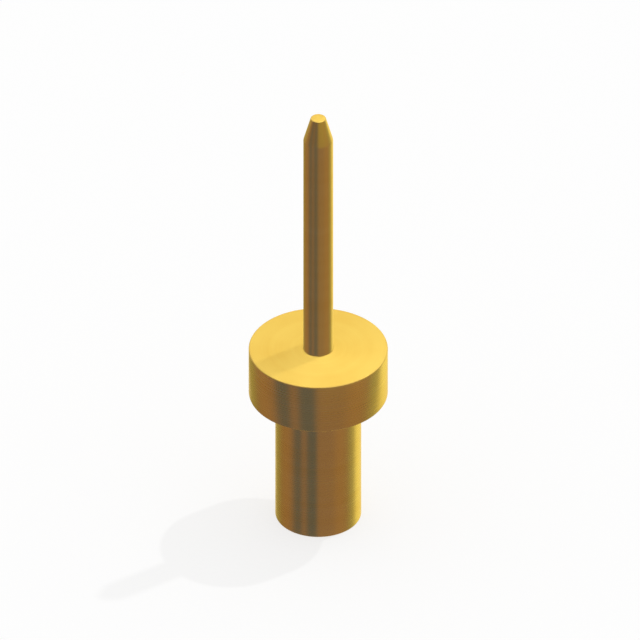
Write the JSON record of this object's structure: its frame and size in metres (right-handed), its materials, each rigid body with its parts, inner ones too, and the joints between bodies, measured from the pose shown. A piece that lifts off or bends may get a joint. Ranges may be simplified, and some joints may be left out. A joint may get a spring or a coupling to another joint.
{
  "type": "pc pin",
  "caption": "Turned gold-plated board pin: a slim round pin with a tapered tip stands on a round flange, with a thicker plain stem below it.",
  "frame": {"origin": "on the pin's axis, in the plane of the flange's underside, where the flange seats", "axes": "+Z along the axis towards the slim pin's tip; X and Y are any pair across it, because the pin is round"},
  "size_m": [0.0024, 0.0024, 0.0082],
  "materials": {
    "gold_plating": "thin bright gold plating over turned brass, with fine rings from the tool"
  },
  "bodies": {
    "root": {"pc_pin": "gold_plating"}
  },
  "joints": []
}
